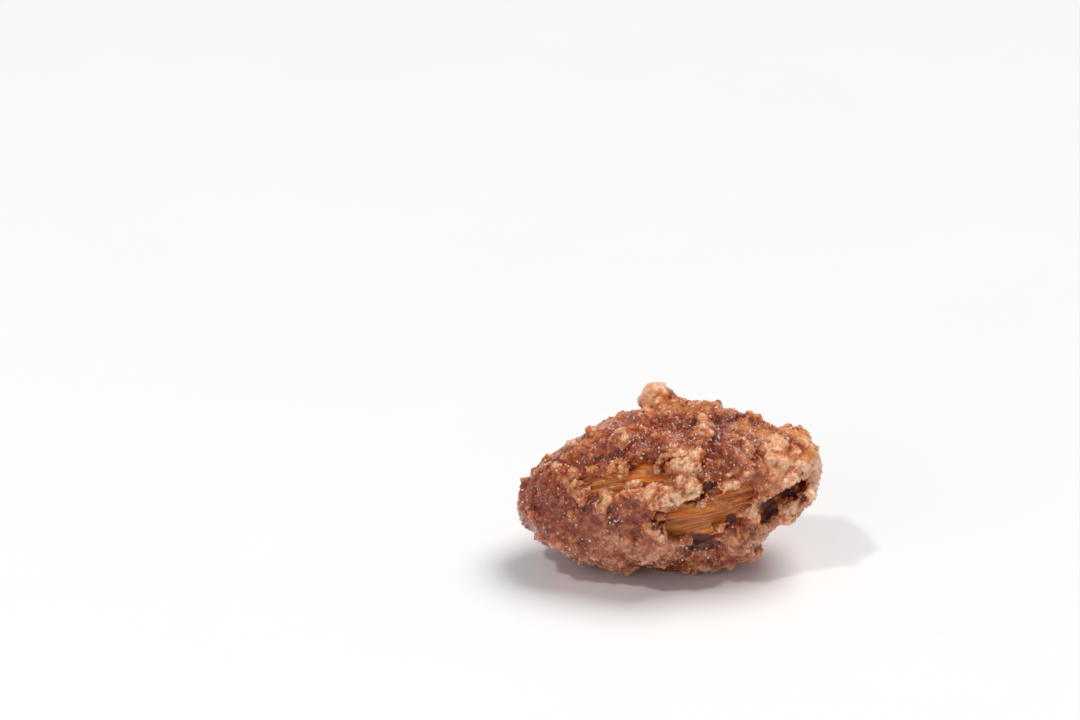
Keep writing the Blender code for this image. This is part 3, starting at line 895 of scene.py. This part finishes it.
def buildCrust():
    look = crustLook
    rng = np.random.default_rng(look["seed"])
    forms = raisedForms + backForms(rng)
    crumbPoints, crumbFaces, crumbPlaces, crumbRadii = crumbShapes(rng)
    body = joined([bondedCrust(), formShapes(rng, forms)])
    knobPoints, knobFaces, knobPlaces, knobs = knobShapes(rng, treeOf(*body))
    crust = newObject("sugarCoat", *joined([body, (crumbPoints, crumbFaces), (knobPoints, knobFaces)]))
    fuseSkin(crust, look["voxel"])
    mesh = crust.data
    edges = meshEdges(mesh)
    points = smoothed(meshPoints(mesh), edges, look["smoothing"])
    setMeshPoints(mesh, points)
    print("crust fused:", len(mesh.vertices), "points,", len(meshTriangles(mesh)), "triangles")

    lay = layOf(points)
    ragged = 0.45 * sways(points, 0.5, 6) + 0.25 * sways(points, 0.2, 8)
    wavy = 0.35 * sways(points, 0.9, 9)
    pale, amber, lumped = np.zeros(len(points)), np.zeros(len(points)), np.zeros(len(points))
    for form in forms:
        reach = reachOf(lay, form)[0]
        inside = 1 - smoothStep(0.4, 1.6, reach + ragged)
        pale = np.maximum(pale, inside * form[6])
        amber = np.maximum(amber, inside * form[7])
        lumped = np.maximum(lumped, 1 - smoothStep(0.8, 1.7, reach + wavy))
    away, knobOf = nearestOf(points, knobPlaces)
    reach = away / (knobs[knobOf, 0] * look["knobSwell"])
    inKnob = inLump(reach, 0.6)
    lumped = np.maximum(lumped, inLump(reach, 1.2))
    points, clear = thinned(points, lumped)
    setMeshPoints(mesh, points)
    normals = meshNormals(mesh)
    free = smoothStep(0.25, 0.9, clear) * (1 - 0.5 * zonesAt(lay, calmZones))
    rise = np.zeros(len(points))
    for size, height, seed in look["lumps"]:
        rise += height * (cobbles(warped(points, size, seed), size, seed) - 0.5)
    for size, level, height in look["plates"]:
        lie = sways(warped(points, size, 7), size, 12)
        rise += height * (smoothStep(level - look["plateEdge"], level + look["plateEdge"], lie) - 0.5)
    relief = rise.copy()
    hollow, depth = hollowAt(points, lay)
    rise -= depth
    rise += look["grainHeight"] * sways(points, look["grainSize"], 4, octaves=2)
    points = keptInBox(points + normals * (rise * free)[:, None])
    setMeshPoints(mesh, points)
    normals = meshNormals(mesh)

    near = smoothed(points, edges, 8)
    far = smoothed(near, edges, 70)
    tips = np.einsum("ij,ij->i", points - near, normals)
    bulge = np.einsum("ij,ij->i", near - far, normals)
    away, crumbOf = nearestOf(points, crumbPlaces)
    crumbs = inLump(away / crumbRadii[crumbOf], 0.6) * (rng.random(len(crumbPlaces)) ** 1.6)[crumbOf]
    # paler and darker zones, with painted light on the right end and painted shade on the left end
    zones = np.zeros(len(points))
    for form in sugarAndLightZones:
        zones += form[5] * within(lay, form, 0.3, 1.2)
    sugar = look["plainSugar"] + zones + look["sugarVaries"] * sways(points, 2.6, 31, octaves=3)
    sugar += look["formPaleness"] * pale + look["reliefPaleness"] * relief + look["crumbPaleness"] * crumbs
    # the pits are painted darker as painted shade
    sugar = np.maximum(sugar, look["thinnest"]) - look["pitShadeStrength"] * hollow
    # painted light and shade: small tips are painted paler and the seams between them darker, larger swells
    # paler and broad hollows darker
    sugar += np.clip(look["tipLightSeamShade"] * tips, -0.18, 0.2)
    sugar += np.clip(look["bulgeLightHollowShade"] * bulge, -0.16, 0.12)
    # each knob takes its own paleness, and is painted paler on top and darker underneath as painted light and
    # shade
    sugar += look["knobPaleness"] * inKnob * (knobs[knobOf, 1] + look["knobTopLight"] * normals[:, 2] - sugar)
    amber = np.maximum(amber, inKnob * knobs[knobOf, 2])
    sugar = np.clip(sugar, 0, 1)
    # duller, more mauve sugar in patches and zones, partly a painted cool reflection
    dull = np.maximum(0.4 * smoothStep(0.1, 0.35, sways(points, 3.4, 33)), zonesAt(lay, dullZones, ragged))
    dull *= 1 - 0.8 * inKnob
    thin = 1 - smoothStep(0.32, 0.68, clear + rise)
    saveAttributes(mesh, sugar=sugar, dull=dull, amber=amber, hollow=hollow, thin=thin)
    grain = grainOf(points)
    saveStreaks(mesh, grain, streaksOf(grain))
    mesh.shade_smooth()
    finishPiece(crust, crustMaterial("cinnamonSugar", look), ["sugar_crust"])
    print("crust:", len(meshTriangles(mesh)), "triangles")
    points = meshPoints(mesh) / mm
    return {  # what the small pieces need to know of the crust under them
        "points": points,
        "triangles": meshTriangles(mesh),
        "clear": smoothStep(0.3, 0.8, aboveKernel(points)[2]),
        "rough": 1 - 0.6 * zonesAt(layOf(points), calmZones),
        "pale": pale,
        "sugar": sugar,
        "dull": dull,
        "amber": amber,
    }


def thinned(points, sugared):
    # over the windows the crust sinks to a film, which leaves the streaked skin bare here and there
    look = crustLook
    nearest, outward, clear = aboveKernel(points)
    lay = layOf(points)
    ragged = 0.30 * sways(points, 1.1, 14) + 0.18 * sways(points, 0.4, 16)
    varies = look["filmVaries"] * sways(points, look["filmSize"], 17, octaves=2)
    cap = np.full(len(points), 9.0)
    for form in thinForms + [(*strip, 0.05, 1.3, 2.0) for strip in bareStrips]:
        reach, distance = reachOf(lay, form)
        beyond = distance * (1 - 1 / np.maximum(reach, 1)) + ragged * min(form[3], 0.6)
        ramp = np.where(lay[1] < form[1], form[7], form[6])
        cap = np.minimum(cap, form[5] + varies + ramp * np.maximum(beyond, 0))
    cap += look["filmSugar"] * sugared
    lower = (clear > cap) & (clear < 4)
    points = np.where(lower[:, None], nearest + outward * cap[:, None], points)
    return points, np.where(lower, cap, clear)


def nearestOf(points, places):
    # each point's distance from the nearest of the places, and which of them it is
    tree = KDTree(len(places))
    for i, place in enumerate(places):
        tree.insert(place, i)
    tree.balance()
    found = [tree.find(p) for p in points]
    return np.array([f[2] for f in found]), np.array([f[1] for f in found])


def inLump(reach, fade):
    # 1 inside a lump, and less and less just outside it
    return 1 - np.clip((reach - 0.8) / fade, 0, 1)


def sugarColour(material, patches, grit, tone):
    # from dark syrup to thick pale sugar, duller in places with a painted cool reflection, more amber in
    # places, and thin over the skin
    look = crustLook
    sugar, dull, amber, thin = (attributeOf(material, name) for name in ("sugar", "dull", "amber", "thin"))
    for pattern, low, high, most in ((patches, 0.3, 0.7, 0.1), (grit, 0.3, 0.7, 0.09), (tone, 0, 1, 0.1)):
        sugar = calculated("ADD", sugar, mapped(pattern, low, high, -most, most))
    ramp = addNode(material.node_tree, "ShaderNodeValToRGB", {"Fac": sugar})
    while len(ramp.color_ramp.elements) < len(look["tints"]):
        ramp.color_ramp.elements.new(0.5)
    for element, (position, tint) in zip(ramp.color_ramp.elements, look["tints"]):
        element.position, element.color = position, (*tint, 1)
    # the duller places are tinted mauve and cool, partly as the sugar's own haze and partly as a painted
    # reflection
    colour = mixed(dull, ramp.outputs["Color"], look["dullness"], "MULTIPLY")
    colour = mixed(mapped(amber, 0.1, 0.8, 0, 0.45), colour, look["amber"])
    thin = calculated("SUBTRACT", thin, mapped(grit, 0.45, 0.7, 0, 0.5))
    return mixed(mapped(thin, 0.1, 0.9, 0, 0.85), colour, streakedSkin(material)[0])


def crustMaterial(name, ownLook):
    # the beads scatter no light and have a coat of their own, and all else is as in the crust
    look = crustLook
    material, shader = newMaterial(name)
    place = objectPlace(material)
    patches = noiseOf(place, 1.1, 3.0, 0.6, 0.5)
    grit = noiseOf(place, 0.35, 3.0, 0.65)
    wobble = noiseOf(place, 0.5, 2.0, 0.5, output="Color")
    shaken = vectorMath("MULTIPLY_ADD", wobble, (look["shake"] * mm,) * 3, place)
    grains = cellsOf(shaken, look["cellSize"])
    grainColour = grains.outputs["Color"]
    tone = addNode(material.node_tree, "ShaderNodeSeparateColor", {"Color": grainColour}).outputs[0]
    coarse = bumped(mapped(grains.outputs["Distance"], 0.0, 0.7, 1.0, 0.0), 0.10, 0.6)
    wet = bumped(grit, 0.05, 0.4, coarse)
    # the clear coat breaks up into small facets, each tilted its own way
    tilt = look["facetTilt"]
    facetColour = cellsOf(place, look["facetSize"]).outputs["Color"]
    facets = vectorMath("MULTIPLY_ADD", facetColour, (2 * tilt,) * 3, (-tilt,) * 3)
    plugAll(shader, {
        "Base Color": sugarColour(material, patches, grit, tone),
        "Roughness": mapped(patches, 0.3, 0.7, *look["roughness"]),
        "Normal": coarse,
        "Specular IOR Level": 0.22,
        "IOR": 1.45,
        "Coat Weight": ownLook["coat"],
        "Coat Roughness": 0.07,
        "Coat Normal": vectorMath("NORMALIZE", vectorMath("ADD", facets, wet)),
    })
    if ownLook["scatterMm"]:
        plugAll(shader, {
            "Subsurface Weight": 1.0,
            "Subsurface Radius": look["scatter"],
            "Subsurface Scale": ownLook["scatterMm"] * mm,
        })
    return material


# Small beads, grains, crystals and specks.
beadLook = {
    "seed": 57,
    "count": 1300,
    "size": (0.10, 0.28),  # the least and the greatest radius
    "spread": 1.7,  # the more above 1, the more of them are small
    "stretch": (0.8, 1.25),  # what each width is multiplied by
    "sink": 0.4,  # how deep they sit, in radii
    "detail": 2,
    "deepest": 0.84,  # how far in their facets are cut, 1 for not at all
    "tips": 0.16,  # how much paler than the crust they are at most
    "rim": 0.06,  # painted light: how much paler they are painted on the outward side
    "scatterMm": 0.0,
    "coat": 0.9,
}

gritLook = {
    "seed": 41,
    "count": 1500,
    "size": (0.05, 0.13),
    "spread": 1.6,
    "stretch": (0.7, 1.3),
    "sink": 0.35,
    "detail": 1,
    "deepest": 0.62,
    "cream": (0.93, 0.70, 0.50),
    "peach": (0.82, 0.42, 0.22),
    "tan": (0.66, 0.25, 0.10),
}

crystalLook = {
    "seed": 23,
    "count": 3600,
    "size": (0.03, 0.11),
    "spread": 2.5,
    "stretch": (0.7, 1.3),
    "sink": -0.1,
    "detail": 1,
    "deepest": 0.62,
    "colour": (0.95, 0.82, 0.70),
    "shade": (0.70, 0.36, 0.20),
}

speckLook = {
    "seed": 31,
    "count": 90,
    "size": (0.04, 0.12),
    "spread": 2.5,
    "stretch": (0.5, 1.5),
    "sink": 0.0,
    "detail": 1,
    "deepest": 0.62,
    "colour": (0.09, 0.020, 0.014),
    "shade": (0.16, 0.04, 0.02),
}


def strewn(name, look, skin, share):
    # small broken bits all over the crust, more of them where share is high
    rng = np.random.default_rng(look["seed"])
    chance = skin["clear"] * share * skin["rough"]
    places, normals = scattered(skin["points"], skin["triangles"], look["count"], rng, chance)
    low, high = look["size"]
    radii = low + (high - low) * rng.random(look["count"]) ** look["spread"]
    sizes = radii[:, None] * rng.uniform(*look["stretch"], (look["count"], 3))
    middles = places - normals * (look["sink"] * radii)[:, None]
    points, faces, owners = chunks(rng, look["detail"], middles, sizes, None, look["deepest"])
    outward = np.einsum("ij,ij->i", points - places[owners], normals[owners]) / radii[owners]
    print(name + ":", len(faces), "faces")
    return newObject(name, keptInBox(points), faces), rng, places, owners, outward


def buildBeads(skin):
    # small rounded beads of sugar, tinted like the crust they sit on and painted paler on the outward side as
    # painted light
    look = beadLook
    share = 0.2 + skin["pale"] + smoothStep(-0.1, 0.35, sways(skin["points"], 2.4, 27))
    beads, rng, places, owners, outward = strewn("sugarBeads", look, skin, share)
    under = nearestOf(places, skin["points"])[1][owners]
    tips = (look["tips"] * rng.random(look["count"]) ** 1.5)[owners]
    # the outward side of each bead is painted paler as painted light
    sugar = np.clip(skin["sugar"][under] + tips + look["rim"] * outward, 0, 1)
    saveAttributes(beads.data, sugar=sugar, dull=skin["dull"][under], amber=skin["amber"][under])
    beads.data.shade_smooth()
    finishPiece(beads, crustMaterial("rockSugar", look))


def buildGrit(skin):
    look = gritLook
    share = 0.2 + 0.4 * skin["pale"] + smoothStep(0.0, 0.45, sways(skin["points"], 1.8, 21))
    grit, rng, _, owners, _ = strewn("sugarGrit", look, skin, share)
    corners = len(owners) // look["count"]
    saveAttributes(grit.data, tone=np.repeat(rng.random(look["count"]), corners))
    grit.data.shade_smooth()
    material, shader = newMaterial("sugarGrain")
    colour = mixed(mapped(attributeOf(material, "tone"), 0.2, 1.0), look["tan"], look["cream"])
    tint = mapped(noiseOf(objectPlace(material), 1.5), 0.45, 0.65, 0, 0.6)
    plugAll(shader, {"Base Color": mixed(tint, colour, look["peach"]), "Roughness": 0.35, "Coat Weight": 0.3})
    finishPiece(grit, material)


def buildCrystals(skin):
    look = crystalLook
    points = skin["points"]
    share = 0.15 + smoothStep(-0.1, 0.45, sways(points, 2.0, 15)) + 0.6 * smoothStep(0, 12, points[:, 2])
    share *= 1 - 0.8 * smoothStep(0.1, 0.5, skin["pale"])  # few show on thick pale sugar
    crystals = strewn("sugarCrystals", look, skin, share)[0]
    material, shader = newMaterial("sugarCrystal")
    tone = mapped(noiseOf(objectPlace(material), 0.3), 0.4, 0.6)
    colour = mixed(tone, look["shade"], look["colour"])
    plugAll(shader, {"Base Color": colour, "Roughness": 0.08, "Coat Weight": 0.5, "IOR": 1.54})
    finishPiece(crystals, material)


def buildSpecks(skin):
    look = speckLook
    share = 0.2 + smoothStep(-0.2, 0.4, sways(skin["points"], 3.0, 18))
    specks = strewn("cinnamonSpecks", look, skin, share)[0]
    material, shader = newMaterial("cinnamonBark")
    colour = mixed(noiseOf(objectPlace(material), 0.4), look["shade"], look["colour"])
    plugAll(shader, {"Base Color": colour, "Roughness": 0.6})
    finishPiece(specks, material)


# Floor, light and camera.
studio = {
    "floorShade": (0.97, 0.98, 0.99),
    "floorColour": (0.98, 0.99, 1.00),
    "world": 0.25,
    "worldColour": (0.88, 0.93, 1.0),
    "key": 2.08,  # broad sunlight from high up behind and to the right
    "keyWidth": math.radians(36),
    "keyFrom": (0.40, 0.22, 1.0),
    "keyColour": (1.0, 0.97, 0.93),
    "glint": 0.7,  # narrow sunlight that makes the crystals glint
    "glintWidth": math.radians(5),
    "glintFrom": (-0.5, -0.35, 1.0),
    "fill": 0.18,
    "fillColour": (0.85, 0.92, 1.0),
    "fillAt": (-0.22, -0.25, 0.15),  # a weak softbox on the left, in metres
    "fillAim": (0, 0, 0.007),
    "fillSize": (0.25, 0.2),
}


def buildFloor():
    bpy.ops.mesh.primitive_circle_add(vertices=96, radius=3.0, fill_type="NGON", location=(0, 0, 0))
    floor = bpy.context.object
    floor.name = "table"
    material, shader = newMaterial("paleTable")
    tone = noiseOf(objectPlace(material), 30.0)
    colour = mixed(mapped(tone, 0.3, 0.7), studio["floorShade"], studio["floorColour"])
    plugAll(shader, {"Base Color": colour, "Roughness": 0.5})
    floor.data.materials.append(material)


def buildLight():
    world = bpy.data.worlds.new("studio")
    bpy.context.scene.world = world
    world.use_nodes = True
    back = world.node_tree.nodes["Background"]
    back.inputs["Color"].default_value = (*studio["worldColour"], 1)
    back.inputs["Strength"].default_value = studio["world"]
    for name in ("key", "glint"):
        sun = bpy.data.lights.new(name, "SUN")
        sun.energy, sun.angle, sun.color = studio[name], studio[name + "Width"], studio["keyColour"]
        turn = Vector(studio[name + "From"]).to_track_quat("Z", "Y")
        placedObject(name, sun).rotation_euler = turn.to_euler()
    softbox = bpy.data.lights.new("fill", "AREA")
    softbox.shape = "RECTANGLE"
    softbox.size, softbox.size_y = studio["fillSize"]
    softbox.energy, softbox.color = studio["fill"], studio["fillColour"]
    fill = placedObject("fill", softbox)
    fill.location = studio["fillAt"]
    fill.rotation_euler = (Vector(studio["fillAim"]) - fill.location).to_track_quat("-Z", "Y").to_euler()
    print("studio lit")
    view = bpy.context.scene.view_settings
    view.view_transform = "Standard"
    view.look = "None"


cameraLook = {
    "elevation": math.radians(25),
    "distance": 254.0,
    "lens": 100.0,
    "sensor": 36.0,
    "picture": (1080, 720),
    "almondAt": (668.5, 485.0),  # where the almond's middle shows in the picture
    "almondMiddle": (0.0, 0.0, 7.2),
}


def buildCamera():
    look = cameraLook
    data = bpy.data.cameras.new("camera")
    data.lens, data.sensor_width, data.sensor_fit = look["lens"], look["sensor"], "HORIZONTAL"
    data.clip_start, data.clip_end = 0.01, 20
    camera = placedObject("camera", data)
    back = Vector((0, -math.cos(look["elevation"]), math.sin(look["elevation"])))
    right = Vector((1, 0, 0))
    up = back.cross(right)
    mmPerPixel = look["distance"] * look["sensor"] / look["lens"] / look["picture"][0]
    across = (look["almondAt"][0] - look["picture"][0] / 2) * mmPerPixel
    down = (look["almondAt"][1] - look["picture"][1] / 2) * mmPerPixel
    aim = Vector(look["almondMiddle"]) - right * across + up * down
    camera.location = (aim + back * look["distance"]) * mm
    camera.rotation_mode = "QUATERNION"
    camera.rotation_quaternion = Matrix((right, up, back)).transposed().to_quaternion()
    bpy.context.scene.camera = camera
    print("camera placed")


buildCamera()
buildLight()
buildFloor()
buildKernel()
skin = buildCrust()
buildBeads(skin)
buildGrit(skin)
buildCrystals(skin)
buildSpecks(skin)
